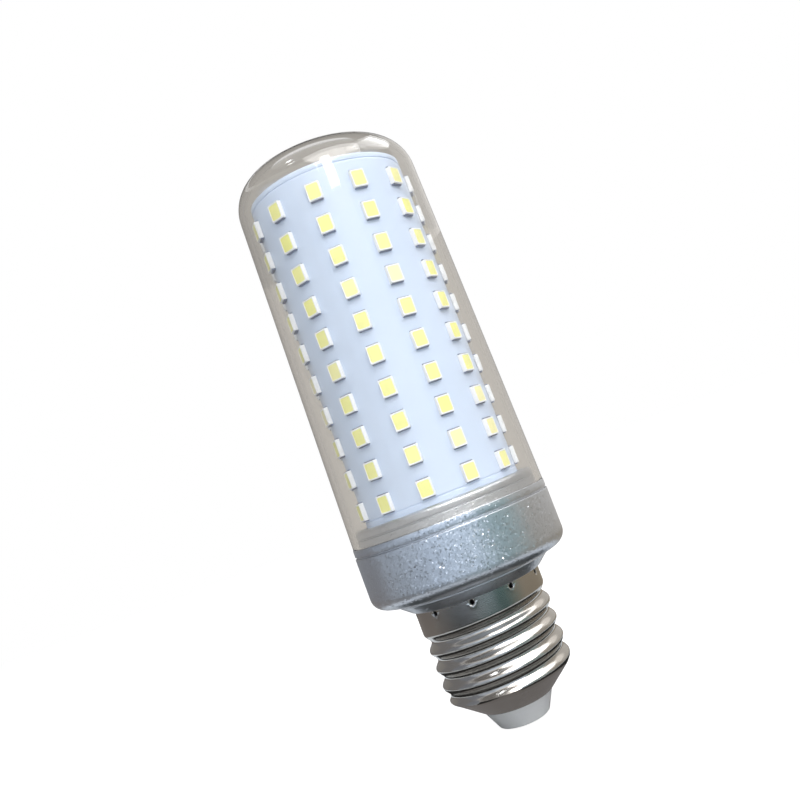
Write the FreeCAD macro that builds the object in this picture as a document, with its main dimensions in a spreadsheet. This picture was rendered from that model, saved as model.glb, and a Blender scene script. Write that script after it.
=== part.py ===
import FreeCAD, Part
import math
import os
import re
import Sketcher

# A corn LED lamp: a clear domed cover over a rolled board that carries columns of LEDs, a silver
# collar, and a screw cap. +Z runs along the axis from the cap to the dome. The origin is the tip of
# the centre contact. Sizes are in millimetres.

SIZES = {
    # screw cap
    "contact_dia": 8.0,
    "contact_head": 0.9,
    "contact_reach": 0.5,
    "shank_dia": 2.4,
    "shank_length": 8.1,
    "shank_fit": 0.05,
    "insulator_end_dia": 11.0,
    "insulator_round": 0.6,
    "insulator_inset": 0.3,
    "flange_height": 2.0,
    "hub_dia": 5.0,
    "hub_height": 1.1,
    "lip_height": 4.5,
    "lip_dia": 15.2,
    "lip_hole_dia": 12.0,
    "lip_inset": 0.19,
    "shell_wall": 0.4,
    "cone_step": 0.5,
    "cone_height": 4.1,
    "cone_round": 1.0,
    "crest_dia": 26.2,
    "thread_depth": 1.0,
    "thread_pitch": 3.629,
    "crest_land": 0.5,
    "thread_start": 4.38,
    "thread_clear": 2.27,
    "runout_angle": 50.0,
    "runout_turns": 0.27,
    "shell_height": 27.7,
    "skirt_depth": 2.0,
    "skirt_wall": 0.45,
    # crimp dents that lock the cap to the collar
    "dent_count": 10,
    "dent_dia": 1.0,
    "dent_drop": 0.7,
    "dent_depth": 0.9,
    # collar
    "crimp_fit": 0.05,
    "neck_gap": 0.2,
    "neck_wall": 2.2,
    "flare_step": 0.7,
    "flare_spread": 2.4,
    "flare_height": 2.0,
    "step_height": 0.3,
    "underside_rise": 0.3,
    "collar_dia": 41.0,
    "collar_round": 2.6,
    "collar_height": 11.0,
    "floor_thickness": 1.6,
    "parting_width": 0.35,
    "parting_depth": 0.5,
    "band_step": 0.1,
    "band_height": 1.5,
    "spigot_height": 3.15,
    "spigot_groove_drop": 1.5,
    "spigot_groove_width": 0.3,
    "spigot_groove_depth": 0.25,
    "spigot_round": 0.9,
    "seat_depth": 1.4,
    "seat_width": 1.2,
    # cover
    "cover_step": 0.2,
    "cover_draft": 1.3,
    "cover_length": 70.0,
    "cover_corner": 7.4,
    "dome_rise": 9.1,
    "cover_wall": 1.2,
    "cover_fit": 0.2,
    # LED board
    "board_gap": 2.9,
    "board_wall": 0.8,
    "board_rise": 1.25,
    "board_fit": 0.15,
    "seam_width": 0.6,
    "seam_angle": 105.0,
    "score_inset": 1.0,
    "score_width": 0.25,
    "score_depth": 0.12,
    "plate_thickness": 1.0,
    "plate_inset": 0.5,
    "plate_fit": 0.1,
    # LEDs
    "column_count": 12,
    "row_count": 10,
    "row_start": 4.7,
    "row_end": 5.4,
    "led_width": 2.8,
    "led_length": 3.5,
    "led_height": 1.0,
    "window_width": 2.0,
    "window_length": 2.7,
    "window_recess": 0.05,
    "terminal_width": 2.0,
    "terminal_reach": 0.3,
    "terminal_height": 0.3,
    # driver
    "card_thickness": 1.2,
    "card_leg_gap": 0.6,
    "card_clear": 3.0,
    "card_head_gap": 1.15,
    "card_head_height": 10.4,
    "card_gap": 0.1,
    "can_dia": 8.0,
    "can_length": 12.0,
    "can_rise": 4.5,
    "can_lead_dia": 0.6,
    "can_lead_spacing": 3.5,
    "can_lead_bend": 1.0,
    "fuse_dia": 2.4,
    "fuse_length": 6.0,
    "fuse_rise": 6.5,
    "fuse_offset": 6.2,
    "fuse_lead_dia": 0.7,
    "fuse_lead_bend": 0.9,
    "bridge_width": 4.7,
    "bridge_length": 3.9,
    "bridge_height": 2.4,
    "bridge_offset": 4.5,
    "bridge_rise": 9.0,
    "chip_width": 3.9,
    "chip_length": 4.9,
    "chip_height": 1.5,
    "chip_offset": 3.0,
    "chip_rise": 3.0,
    "chip_leg_reach": 1.0,
    "chip_leg_width": 0.4,
    "chip_leg_thickness": 0.25,
    "chip_leg_pitch": 1.27,
    "resistor_width": 1.6,
    "resistor_length": 3.2,
    "resistor_height": 0.6,
    "resistor_offset": 6.0,
    "resistor_rise": 3.0,
    "resistor_spacing": 3.0,
    # wires
    "cap_wire_dia": 1.2,
    "cap_wire_offset": 6.0,
    "cap_wire_hold": 3.5,
    "lead_dia": 1.0,
    "lead_offset": 6.0,
    "lead_hold": 4.5,
    "lead_climb": 18.0,
    "wire_gap": 0.06,
    "solder_dia": 1.8,
}

doc = FreeCAD.newDocument("CornLamp")
sheet = doc.addObject("Spreadsheet::Sheet", "Sizes")
for row, (size_name, size_value) in enumerate(SIZES.items(), start=1):
    sheet.set(f"A{row}", size_name)
    sheet.set(f"B{row}", str(size_value))
    sheet.setAlias(f"B{row}", size_name)
doc.recompute()


def tie(text):
    """An expression in the sheet's size names, as FreeCAD binds it."""
    return re.sub(r"[a-z]\w+", lambda word: "Sizes." + word[0] if word[0] in SIZES else word[0], text)


def size(text):
    """The number that an expression in size names stands for now."""
    return float(sheet.evalExpression(tie(text)))


def bind(item, **expressions):
    """Bind each named property of an object to an expression in size names."""
    for name, text in expressions.items():
        item.setExpression(name, tie(text))


# Heights and radii that several pieces share, as expressions in the sheet's sizes.
CREST_RADIUS = "(crest_dia / 2)"
ROOT_RADIUS = f"({CREST_RADIUS} - thread_depth)"
CONE_RADIUS = f"({CREST_RADIUS} - cone_step)"
CONE_SLOPE = f"(cone_height / ({CONE_RADIUS} - lip_dia / 2))"
LIP_TOP = "(lip_height + shell_wall)"
SHELL_BORE = f"({ROOT_RADIUS} - shell_wall)"
SKIRT_BORE = f"({CREST_RADIUS} - skirt_wall)"
SKIRT_FLOOR = "(shell_height - skirt_depth)"
THREAD_RISE = f"({SKIRT_FLOOR} - thread_start - thread_clear)"
NECK_RADIUS = f"({SKIRT_BORE} - crimp_fit)"
NECK_BORE = f"({NECK_RADIUS} - neck_wall)"
FLARE_FOOT = f"({CREST_RADIUS} + flare_step)"
FLARE_RADIUS = f"({FLARE_FOOT} + flare_spread)"
FLARE_TOP = "(shell_height + flare_height)"
COLLAR_BASE = f"({FLARE_TOP} + step_height + underside_rise)"
COLLAR_FLOOR = f"({COLLAR_BASE} + floor_thickness)"
COLLAR_TOP = f"({COLLAR_BASE} + collar_height)"
BAND_BASE = f"({COLLAR_TOP} + parting_width)"
SHOULDER = f"({BAND_BASE} + band_height)"
COLLAR_RADIUS = "(collar_dia / 2)"
BAND_RADIUS = f"({COLLAR_RADIUS} - band_step)"
COVER_RADIUS = f"({COLLAR_RADIUS} - cover_step)"
COVER_HEAD_RADIUS = f"({COVER_RADIUS} - cover_draft)"
SPIGOT_RADIUS = f"({COVER_RADIUS} - cover_wall - cover_fit)"
SPIGOT_TOP = f"({SHOULDER} + spigot_height)"
DOME_BASE = f"({SHOULDER} + cover_length)"
DOME_TOP = f"({DOME_BASE} + dome_rise)"
BOARD_BASE = f"({SPIGOT_TOP} - seat_depth)"
BOARD_TOP = f"({DOME_BASE} + board_rise)"
BOARD_RADIUS = f"({COVER_RADIUS} - cover_wall - board_gap)"
BOARD_BORE = f"({BOARD_RADIUS} - board_wall)"
SEAT_RADIUS = f"({BOARD_RADIUS} + board_fit)"
COLLAR_BORE = f"({SEAT_RADIUS} - seat_width)"
FIRST_ROW = f"({BOARD_BASE} + row_start)"
ROW_PITCH = f"(({BOARD_TOP} - {FIRST_ROW} - row_end) / (row_count - 1))"
NAIL_TOP = "(contact_head + shank_length)"
CARD_BASE = f"({NAIL_TOP} + card_clear)"
CARD_FACE = "(card_thickness / 2)"
CARD_HALF_LEG = f"({NECK_BORE} - card_leg_gap)"
CARD_HALF_HEAD = f"({COLLAR_BORE} - card_head_gap)"

# Shares of a run or a climb at which the wires bend.
BEND_SHARE = 0.45
LIVE_BENDS = (0.4, 0.6)
LIVE_TURN = 0.6
LEAD_BENDS = (0.1, 0.65)


def new_body(label):
    body = doc.addObject("PartDesign::Body", label)
    body.Label = label
    return body


def origin_of(body, role):
    """The origin plane or axis of a body that has this role."""
    return next(item for item in body.Origin.OriginFeatures if item.Role == role)


def new_sketch(body, name, role, lift="0"):
    """A sketch on one of the body's origin planes, lifted along the plane's normal."""
    sketch = body.newObject("Sketcher::SketchObject", name)
    sketch.AttachmentSupport = [(origin_of(body, role), "")]
    sketch.MapMode = "FlatFace"
    sketch.setExpression("AttachmentOffset.Base.z", tie(lift))
    return sketch


def hold_point(sketch, edge, end, across, up):
    """Hold an edge's end at coordinates given as expressions in size names."""
    for kind, text, axis in (("DistanceX", across, -2), ("DistanceY", up, -1)):
        if text == "0":
            sketch.addConstraint(Sketcher.Constraint("PointOnObject", edge, end, axis))
            continue
        number = sketch.addConstraint(Sketcher.Constraint(kind, -1, 1, edge, end, size(text)))
        sketch.setExpression(f"Constraints[{number}]", tie(text))


def nearest_end(sketch, edge, point):
    """Which end of an edge, 1 or 2, lies at a point."""
    return min((1, 2), key=lambda end: sketch.getPoint(edge, end).distanceToPoint(point))


def draw_outline(sketch, points, arcs=None):
    """A closed outline through points given as pairs of expressions.

    arcs maps the number of an edge to (radius, centre across, centre up); other edges are straight.
    """
    arcs = arcs or {}
    places = [FreeCAD.Vector(size(across), size(up), 0) for across, up in points]
    edges = []
    for number, start in enumerate(places):
        stop = places[(number + 1) % len(places)]
        if number in arcs:
            radius, across, up = arcs[number]
            centre = FreeCAD.Vector(size(across), size(up), 0)
            out = ((start + stop) * 0.5 - centre).normalize()
            edge = sketch.addGeometry(Part.Arc(start, centre + out * size(radius), stop), False)
            held = sketch.addConstraint(Sketcher.Constraint("Radius", edge, size(radius)))
            sketch.setExpression(f"Constraints[{held}]", tie(radius))
        else:
            edge = sketch.addGeometry(Part.LineSegment(start, stop), False)
        edges.append(edge)
    for number, place in enumerate(places):
        before, after = edges[number - 1], edges[number]
        end_before = nearest_end(sketch, before, place)
        end_after = nearest_end(sketch, after, place)
        sketch.addConstraint(Sketcher.Constraint("Coincident", before, end_before, after, end_after))
        hold_point(sketch, after, end_after, *points[number])


def rectangle(across, up, width, height):
    """The corners of a rectangle about a centre, as expressions."""
    left, right = f"({across}) - ({width}) / 2", f"({across}) + ({width}) / 2"
    low, high = f"({up}) - ({height}) / 2", f"({up}) + ({height}) / 2"
    return [(left, low), (right, low), (right, high), (left, high)]


def draw_circle(sketch, across, up, diameter):
    place = FreeCAD.Vector(size(across), size(up), 0)
    edge = sketch.addGeometry(Part.Circle(place, FreeCAD.Vector(0, 0, 1), size(diameter) / 2), False)
    held = sketch.addConstraint(Sketcher.Constraint("Diameter", edge, size(diameter)))
    sketch.setExpression(f"Constraints[{held}]", tie(diameter))
    hold_point(sketch, edge, 3, across, up)


def feature(body, kind, name, sketch=None, **expressions):
    """A PartDesign feature in a body, with its properties bound to the sheet."""
    item = body.newObject(f"PartDesign::{kind}", name)
    if sketch is not None:
        item.Profile = sketch
    bind(item, **expressions)
    return item


def turned(body, name, points, arcs=None):
    """A solid of revolution about Z, from an outline of (radius, height) points."""
    sketch = new_sketch(body, name + "_section", "XZ_Plane")
    draw_outline(sketch, points, arcs)
    item = feature(body, "Revolution", name, sketch)
    item.ReferenceAxis = (origin_of(body, "Z_Axis"), [""])
    return item


def around(body, name, originals, count):
    """Copies of features, evenly spaced about Z."""
    item = feature(body, "PolarPattern", name, Occurrences=count)
    item.Originals = originals
    item.Axis = (origin_of(body, "Z_Axis"), [""])
    item.Angle = 360
    body.Tip = item
    return item


def make_contact_nail():
    """The nail through the insulator: a wide head outside, and a shank that the live wire meets."""
    body = new_body("contact_nail")
    turned(body, "nail", [
        ("0", "0"),
        ("contact_dia / 2 - contact_head / 2", "0"),
        ("contact_dia / 2", "contact_head / 2"),
        ("contact_dia / 2", "contact_head"),
        ("shank_dia / 2", "contact_head"),
        ("shank_dia / 2", NAIL_TOP),
        ("0", NAIL_TOP),
    ])
    return body


def make_insulator():
    """The moulded plug that holds the nail and grips the shell's lip from both sides."""
    body = new_body("insulator")
    hole = "(shank_dia / 2 + shank_fit)"
    recess = "(contact_dia / 2 + shank_fit)"
    end = "(insulator_end_dia / 2)"
    waist = "(lip_hole_dia / 2 - shank_fit)"
    flange = "(lip_dia / 2 - insulator_inset)"
    flange_top = f"({LIP_TOP} + flange_height)"
    turned(body, "plug", [
        (hole, "contact_head"),
        (recess, "contact_head"),
        (recess, "contact_reach"),
        (f"{end} - insulator_round", "contact_reach"),
        (end, "contact_reach + insulator_round"),
        (flange, "lip_height"),
        (waist, "lip_height"),
        (waist, LIP_TOP),
        (flange, LIP_TOP),
        (f"{flange} + flange_height / {CONE_SLOPE}", flange_top),
        ("hub_dia / 2", flange_top),
        ("hub_dia / 2", f"{flange_top} + hub_height"),
        (hole, f"{flange_top} + hub_height"),
    ], {3: ("insulator_round", f"{end} - insulator_round", "contact_reach + insulator_round")})
    return body


def groove_outline(centre):
    """The round-bottomed thread groove as (radius, height) points, with the arcs that join them."""
    depth = "thread_depth"
    curve = f"(((thread_pitch / 4)^2 + ({depth} / 2)^2) / {depth})"
    reach = "(thread_pitch / 2 - crest_land / 2)"
    edge = f"({CREST_RADIUS} - {curve} + sqrt({curve}^2 - (crest_land / 2)^2))"
    outside = f"({CREST_RADIUS} + shell_wall)"
    middle = f"({CREST_RADIUS} - {depth} / 2)"
    quarter = "(thread_pitch / 4)"
    points = [
        (outside, f"{centre} - {reach}"),
        (outside, f"{centre} + {reach}"),
        (edge, f"{centre} + {reach}"),
        (middle, f"{centre} + {quarter}"),
        (middle, f"{centre} - {quarter}"),
        (edge, f"{centre} - {reach}"),
    ]
    crest = f"{CREST_RADIUS} - {curve}"
    arcs = {
        2: (curve, crest, f"{centre} + thread_pitch / 2"),
        3: (curve, f"{ROOT_RADIUS} + {curve}", centre),
        4: (curve, crest, f"{centre} - thread_pitch / 2"),
    }
    return points, arcs


def make_screw_shell():
    """The plated shell: a lip and cone below, the rolled thread, and a plain skirt above it."""
    body = new_body("screw_shell")
    cone_top = "(lip_height + cone_height)"
    inner_lip = "(lip_dia / 2 - lip_inset)"
    turned(body, "wall", [
        ("lip_hole_dia / 2", "lip_height"),
        ("lip_dia / 2", "lip_height"),
        (CONE_RADIUS, cone_top),
        (CREST_RADIUS, f"{cone_top} + cone_round"),
        (CREST_RADIUS, "shell_height"),
        (SKIRT_BORE, "shell_height"),
        (SKIRT_BORE, SKIRT_FLOOR),
        (SHELL_BORE, SKIRT_FLOOR),
        (SHELL_BORE, f"{LIP_TOP} + ({SHELL_BORE} - {inner_lip}) * {CONE_SLOPE}"),
        (inner_lip, LIP_TOP),
        ("lip_hole_dia / 2", LIP_TOP),
    ])
    groove = new_sketch(body, "groove", "XZ_Plane")
    draw_outline(groove, *groove_outline("thread_start"))
    thread = feature(body, "SubtractiveHelix", "thread", groove, Pitch="thread_pitch",
                     Height=THREAD_RISE)
    thread.ReferenceAxis = (origin_of(body, "Z_Axis"), [""])
    thread.Mode = "pitch-height-angle"
    fade = new_sketch(body, "fade_groove", "XZ_Plane")
    fade.AttachmentOffset = FreeCAD.Placement(FreeCAD.Vector(), FreeCAD.Rotation(FreeCAD.Vector(0, 1, 0), 90))
    fade.setExpression("AttachmentOffset.Rotation.Angle", tie(f"360 * mod({THREAD_RISE} / thread_pitch, 1)"))
    draw_outline(fade, *groove_outline(f"(thread_start + {THREAD_RISE})"))
    runout = feature(body, "SubtractiveHelix", "runout", fade, Pitch="thread_pitch",
                     Height="thread_pitch * runout_turns", Angle="runout_angle")
    runout.ReferenceAxis = (origin_of(body, "Z_Axis"), [""])
    runout.Mode = "pitch-height-angle"
    dents = new_sketch(body, "dents", "XZ_Plane")
    draw_circle(dents, "0", "shell_height - dent_drop", "dent_dia")
    punch = feature(body, "Pocket", "punch", dents, Length="crest_dia")
    punch.Reversed = True
    around(body, "punches", [punch], "dent_count")
    return body


def make_housing():
    """The silver collar: a neck in the cap, a flared foot, the main wall, a band and a spigot."""
    body = new_body("housing")
    spigot_groove = f"({SPIGOT_TOP} - spigot_groove_drop)"
    groove_floor = f"{SPIGOT_RADIUS} - spigot_groove_depth"
    parting = f"{COLLAR_RADIUS} - parting_depth"
    turned(body, "wall", [
        (NECK_RADIUS, f"{SKIRT_FLOOR} + neck_gap"),
        (NECK_RADIUS, "shell_height"),
        (FLARE_FOOT, "shell_height"),
        (FLARE_RADIUS, FLARE_TOP),
        (FLARE_RADIUS, f"{FLARE_TOP} + step_height"),
        (f"{COLLAR_RADIUS} - collar_round", COLLAR_BASE),
        (COLLAR_RADIUS, f"{COLLAR_BASE} + collar_round"),
        (COLLAR_RADIUS, COLLAR_TOP),
        (parting, COLLAR_TOP),
        (parting, BAND_BASE),
        (BAND_RADIUS, BAND_BASE),
        (BAND_RADIUS, SHOULDER),
        (SPIGOT_RADIUS, SHOULDER),
        (SPIGOT_RADIUS, f"{spigot_groove} - spigot_groove_width"),
        (groove_floor, f"{spigot_groove} - spigot_groove_width"),
        (groove_floor, spigot_groove),
        (SPIGOT_RADIUS, spigot_groove),
        (SPIGOT_RADIUS, f"{SPIGOT_TOP} - spigot_round"),
        (f"{SPIGOT_RADIUS} - spigot_round", SPIGOT_TOP),
        (SEAT_RADIUS, SPIGOT_TOP),
        (SEAT_RADIUS, BOARD_BASE),
        (COLLAR_BORE, BOARD_BASE),
        (COLLAR_BORE, COLLAR_FLOOR),
        (NECK_BORE, COLLAR_FLOOR),
        (NECK_BORE, f"{SKIRT_FLOOR} + neck_gap"),
    ], {
        5: ("collar_round", f"{COLLAR_RADIUS} - collar_round", f"{COLLAR_BASE} + collar_round"),
        17: ("spigot_round", f"{SPIGOT_RADIUS} - spigot_round", f"{SPIGOT_TOP} - spigot_round"),
    })
    dents = new_sketch(body, "dents", "XZ_Plane", f"{NECK_RADIUS} - dent_depth")
    draw_circle(dents, "0", "shell_height - dent_drop", "dent_dia")
    pit = feature(body, "Pocket", "pit", dents, Length="2 * dent_depth")
    pit.Reversed = True
    around(body, "pits", [pit], "dent_count")
    return body


def draw_dome(sketch, inset):
    """One side of the cover: drafted wall, corner arc and crown, drawn inside the outside by inset.

    Gives back the edge and end of the wall's foot and of the crown's top.
    """
    wall_foot = FreeCAD.Vector(size(f"{COVER_RADIUS} - {inset}"), size(SHOULDER), 0)
    wall_head = FreeCAD.Vector(size(f"{COVER_HEAD_RADIUS} - {inset}"), size(DOME_BASE), 0)
    corner = size(f"cover_corner - {inset}")
    top = FreeCAD.Vector(0, size(f"{DOME_TOP} - {inset}"), 0)
    hub = wall_head - FreeCAD.Vector(corner, 0, 0)
    # The crown is centred on the axis and touches the corner arc from outside it.
    rise = top.y - hub.y
    crown = (hub.x ** 2 + rise ** 2 - corner ** 2) / (2 * (rise - corner))
    crown_centre = FreeCAD.Vector(0, top.y - crown, 0)
    out = (hub - crown_centre).normalize()
    join = hub + out * corner
    diagonal = (FreeCAD.Vector(1, 0, 0) + out).normalize()
    wall = sketch.addGeometry(Part.LineSegment(wall_foot, wall_head), False)
    bend = sketch.addGeometry(Part.Arc(wall_head, hub + diagonal * corner, join), False)
    halfway = (FreeCAD.Vector(0, 1, 0) + out).normalize()
    lid = sketch.addGeometry(Part.Arc(join, crown_centre + halfway * crown, top), False)
    hold_point(sketch, wall, 1, f"{COVER_RADIUS} - {inset}", SHOULDER)
    hold_point(sketch, wall, 2, f"{COVER_HEAD_RADIUS} - {inset}", DOME_BASE)
    bend_start, bend_end = nearest_end(sketch, bend, wall_head), nearest_end(sketch, bend, join)
    lid_start, lid_end = nearest_end(sketch, lid, join), nearest_end(sketch, lid, top)
    sketch.addConstraint(Sketcher.Constraint("Coincident", wall, 2, bend, bend_start))
    sketch.addConstraint(Sketcher.Constraint("Horizontal", bend, 3, wall, 2))
    held = sketch.addConstraint(Sketcher.Constraint("Radius", bend, corner))
    sketch.setExpression(f"Constraints[{held}]", tie(f"cover_corner - {inset}"))
    sketch.addConstraint(Sketcher.Constraint("Tangent", bend, bend_end, lid, lid_start))
    sketch.addConstraint(Sketcher.Constraint("PointOnObject", lid, 3, -2))
    hold_point(sketch, lid, lid_end, "0", f"{DOME_TOP} - {inset}")
    return (wall, 1), (lid, lid_end)


def make_clear_cover():
    """The clear cover, moulded in one piece: a drafted tube with a low dome, over the spigot."""
    body = new_body("clear_cover")
    sketch = new_sketch(body, "cover_section", "XZ_Plane")
    outside = draw_dome(sketch, "0")
    inside = draw_dome(sketch, "cover_wall")
    for (edge, end), (inner_edge, inner_end) in zip(outside, inside):
        start, stop = sketch.getPoint(edge, end), sketch.getPoint(inner_edge, inner_end)
        link = sketch.addGeometry(Part.LineSegment(start, stop), False)
        sketch.addConstraint(Sketcher.Constraint("Coincident", link, 1, edge, end))
        sketch.addConstraint(Sketcher.Constraint("Coincident", link, 2, inner_edge, inner_end))
    item = feature(body, "Revolution", "cover", sketch)
    item.ReferenceAxis = (origin_of(body, "Z_Axis"), [""])
    return body


def make_led_board():
    """The rolled board: a thin tube with a seam, and a scored line near each end."""
    body = new_body("led_board")
    score_floor = f"{BOARD_RADIUS} - score_depth"
    low_score = f"({SPIGOT_TOP} + score_inset)"
    high_score = f"({BOARD_TOP} - score_inset)"
    turned(body, "tube", [
        (BOARD_BORE, BOARD_BASE),
        (BOARD_RADIUS, BOARD_BASE),
        (BOARD_RADIUS, low_score),
        (score_floor, low_score),
        (score_floor, f"{low_score} + score_width"),
        (BOARD_RADIUS, f"{low_score} + score_width"),
        (BOARD_RADIUS, f"{high_score} - score_width"),
        (score_floor, f"{high_score} - score_width"),
        (score_floor, high_score),
        (BOARD_RADIUS, high_score),
        (BOARD_RADIUS, BOARD_TOP),
        (BOARD_BORE, BOARD_TOP),
    ])
    seam = new_sketch(body, "seam", "XY_Plane", BOARD_BASE)
    seam.setExpression("AttachmentOffset.Rotation.Angle", tie("seam_angle"))
    draw_outline(seam, rectangle(BOARD_RADIUS, "0", "4 * board_wall", "seam_width"))
    slit = feature(body, "Pocket", "slit", seam, Length=f"{BOARD_TOP} - {BOARD_BASE}")
    slit.Reversed = True
    return body


def make_top_plate():
    """The plain disc that closes the board's upper end."""
    body = new_body("top_plate")
    sketch = new_sketch(body, "disc", "XY_Plane", f"{BOARD_TOP} - plate_inset - plate_thickness")
    draw_circle(sketch, "0", "0", f"2 * ({BOARD_BORE} - plate_fit)")
    feature(body, "Pad", "plate", sketch, Length="plate_thickness")
    return body


def repeat_leds(body, originals):
    """Copies up each column, then round the board."""
    rows = body.newObject("PartDesign::LinearPattern", "rows")
    rows.Direction = (origin_of(body, "Z_Axis"), [""])
    rows.Mode = "Spacing"
    bind(rows, Offset=ROW_PITCH, Occurrences="row_count")
    columns = body.newObject("PartDesign::PolarPattern", "columns")
    columns.Axis = (origin_of(body, "Z_Axis"), [""])
    columns.Angle = 360
    bind(columns, Occurrences="column_count")
    array = body.newObject("PartDesign::MultiTransform", "array")
    array.Originals = originals
    array.Transformations = [rows, columns]
    body.Tip = array


def make_led_housings():
    """The white LED frames, each moulded round a window for its phosphor."""
    body = new_body("led_housings")
    foot = new_sketch(body, "foot", "XZ_Plane", BOARD_RADIUS)
    draw_outline(foot, rectangle("0", FIRST_ROW, "led_width", "led_length"))
    draw_outline(foot, rectangle("0", FIRST_ROW, "window_width", "window_length"))
    frame = feature(body, "Pad", "frame", foot, Length="led_height")
    repeat_leds(body, [frame])
    return body


def make_led_phosphors():
    """The yellow fill of each LED's window, a little below the frame's face."""
    body = new_body("led_phosphors")
    foot = new_sketch(body, "foot", "XZ_Plane", BOARD_RADIUS)
    draw_outline(foot, rectangle("0", FIRST_ROW, "window_width", "window_length"))
    fill = feature(body, "Pad", "fill", foot, Length="led_height - window_recess")
    repeat_leds(body, [fill])
    return body


def make_led_terminals():
    """The solder terminals at both ends of each LED."""
    body = new_body("led_terminals")
    foot = new_sketch(body, "foot", "XZ_Plane", BOARD_RADIUS)
    for side in ("-", "+"):
        place = f"{FIRST_ROW} {side} (led_length + terminal_reach) / 2"
        draw_outline(foot, rectangle("0", place, "terminal_width", "terminal_reach"))
    tabs = feature(body, "Pad", "tabs", foot, Length="terminal_height")
    repeat_leds(body, [tabs])
    return body


def make_driver_card():
    """The T-shaped driver card: its head rests on the collar's floor, its leg hangs in the cap."""
    body = new_body("driver_card")
    sketch = new_sketch(body, "tee", "XZ_Plane")
    head_top = f"{COLLAR_FLOOR} + card_head_height"
    draw_outline(sketch, [
        (f"-{CARD_HALF_LEG}", CARD_BASE), (CARD_HALF_LEG, CARD_BASE), (CARD_HALF_LEG, COLLAR_FLOOR),
        (CARD_HALF_HEAD, COLLAR_FLOOR), (CARD_HALF_HEAD, head_top), (f"-{CARD_HALF_HEAD}", head_top),
        (f"-{CARD_HALF_HEAD}", COLLAR_FLOOR), (f"-{CARD_HALF_LEG}", COLLAR_FLOOR),
    ])
    plate = feature(body, "Pad", "plate", sketch, Length="card_thickness")
    plate.Midplane = True
    return body


def on_card(body, name, corners, height, stand="0", front=False):
    """A block that stands out from one face of the driver card."""
    lift = f"{CARD_FACE} + {stand}"
    sketch = new_sketch(body, name + "_foot", "XZ_Plane", lift if front else f"-({lift})")
    for outline in corners:
        draw_outline(sketch, outline)
    block = feature(body, "Pad", name, sketch, Length=height)
    block.Reversed = not front
    return block


def make_bridge_rectifier():
    body = new_body("bridge_rectifier")
    place = ("-bridge_offset", f"{CARD_BASE} + bridge_rise")
    on_card(body, "case", [rectangle(*place, "bridge_width", "bridge_length")], "bridge_height")
    return body


def make_driver_chip():
    """The control chip: a flat case with four legs along each side."""
    body = new_body("driver_chip")
    centre = f"({COLLAR_FLOOR} + chip_rise)"
    legs = []
    for side in ("-", "+"):
        across = f"chip_offset {side} (chip_width + chip_leg_reach) / 2"
        for step in (-1.5, -0.5, 0.5, 1.5):
            up = f"{centre} + ({step}) * chip_leg_pitch"
            legs.append(rectangle(across, up, "chip_leg_reach", "chip_leg_width"))
    on_card(body, "case", [rectangle("chip_offset", centre, "chip_width", "chip_length")], "chip_height")
    on_card(body, "legs", legs, "chip_leg_thickness")
    return body


def make_sense_resistors():
    body = new_body("sense_resistors")
    corners = []
    for step in (0, 1):
        up = f"{COLLAR_FLOOR} + resistor_rise + {step} * resistor_spacing"
        corners.append(rectangle("-resistor_offset", up, "resistor_length", "resistor_width"))
    on_card(body, "chips", corners, "resistor_height")
    return body


def route(points):
    """A wire of straight runs and tangent arcs, each arc as large as its shorter run allows."""
    edges, start = [], points[0]
    for before, corner, after in zip(points, points[1:], points[2:]):
        back, ahead = before - corner, after - corner
        run = BEND_SHARE * min(back.Length, ahead.Length)
        back, ahead = back.normalize(), ahead.normalize()
        half = back.getAngle(ahead) / 2
        inward = (back + ahead).normalize()
        centre = corner + inward * (run / math.cos(half))
        radius = run * math.tan(half)
        arc_start, arc_stop = corner + back * run, corner + ahead * run
        edges.append(Part.LineSegment(start, arc_start).toShape())
        edges.append(Part.Arc(arc_start, centre - inward * radius, arc_stop).toShape())
        start = arc_stop
    edges.append(Part.LineSegment(start, points[-1]).toShape())
    return Part.Wire(edges)


def wire_along(points, diameter):
    """A round wire along a route."""
    path = route(points)
    section = Part.Wire(Part.makeCircle(diameter / 2, points[0], points[1] - points[0]))
    return path.makePipeShell([section], True, False)


def keep_shape(label, shape):
    item = doc.addObject("Part::Feature", label)
    item.Label = label
    item.Shape = shape
    return item


def can_centre():
    """Where the capacitor's foot stands: its axis runs up the card's front face."""
    return FreeCAD.Vector(0, -size(f"{CARD_FACE} + card_gap + can_dia / 2"), size(f"{CARD_BASE} + can_rise"))


def make_bulk_capacitor():
    """The can lies along the card, with its two leads bent over into the card's face."""
    foot = can_centre()
    can = Part.makeCylinder(size("can_dia / 2"), size("can_length"), foot)
    bend = size("can_lead_bend")
    for side in (-0.5, 0.5):
        top = foot + FreeCAD.Vector(side * size("can_lead_spacing"), 0, size("can_length"))
        corner = top + FreeCAD.Vector(0, 0, 2 * bend)
        end = FreeCAD.Vector(corner.x, -size(CARD_FACE), corner.z)
        can = can.fuse(wire_along([top, corner, end], size("can_lead_dia")))
    return keep_shape("bulk_capacitor", can)


def make_fuse_resistor():
    """An axial fuse resistor beside the can, with a bent lead at each end."""
    foot = FreeCAD.Vector(-size("fuse_offset"), -size(f"{CARD_FACE} + card_gap + fuse_dia / 2"),
                          size(f"{CARD_BASE} + fuse_rise"))
    up = FreeCAD.Vector(0, 0, 1)
    fuse = Part.makeCylinder(size("fuse_dia / 2"), size("fuse_length"), foot)
    for end, way in ((foot, -up), (foot + up * size("fuse_length"), up)):
        corner = end + way * size("fuse_lead_bend")
        card = FreeCAD.Vector(corner.x, -size(CARD_FACE), corner.z)
        fuse = fuse.fuse(wire_along([end, corner, card], size("fuse_lead_dia")))
    return keep_shape("fuse_resistor", fuse)


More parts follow.
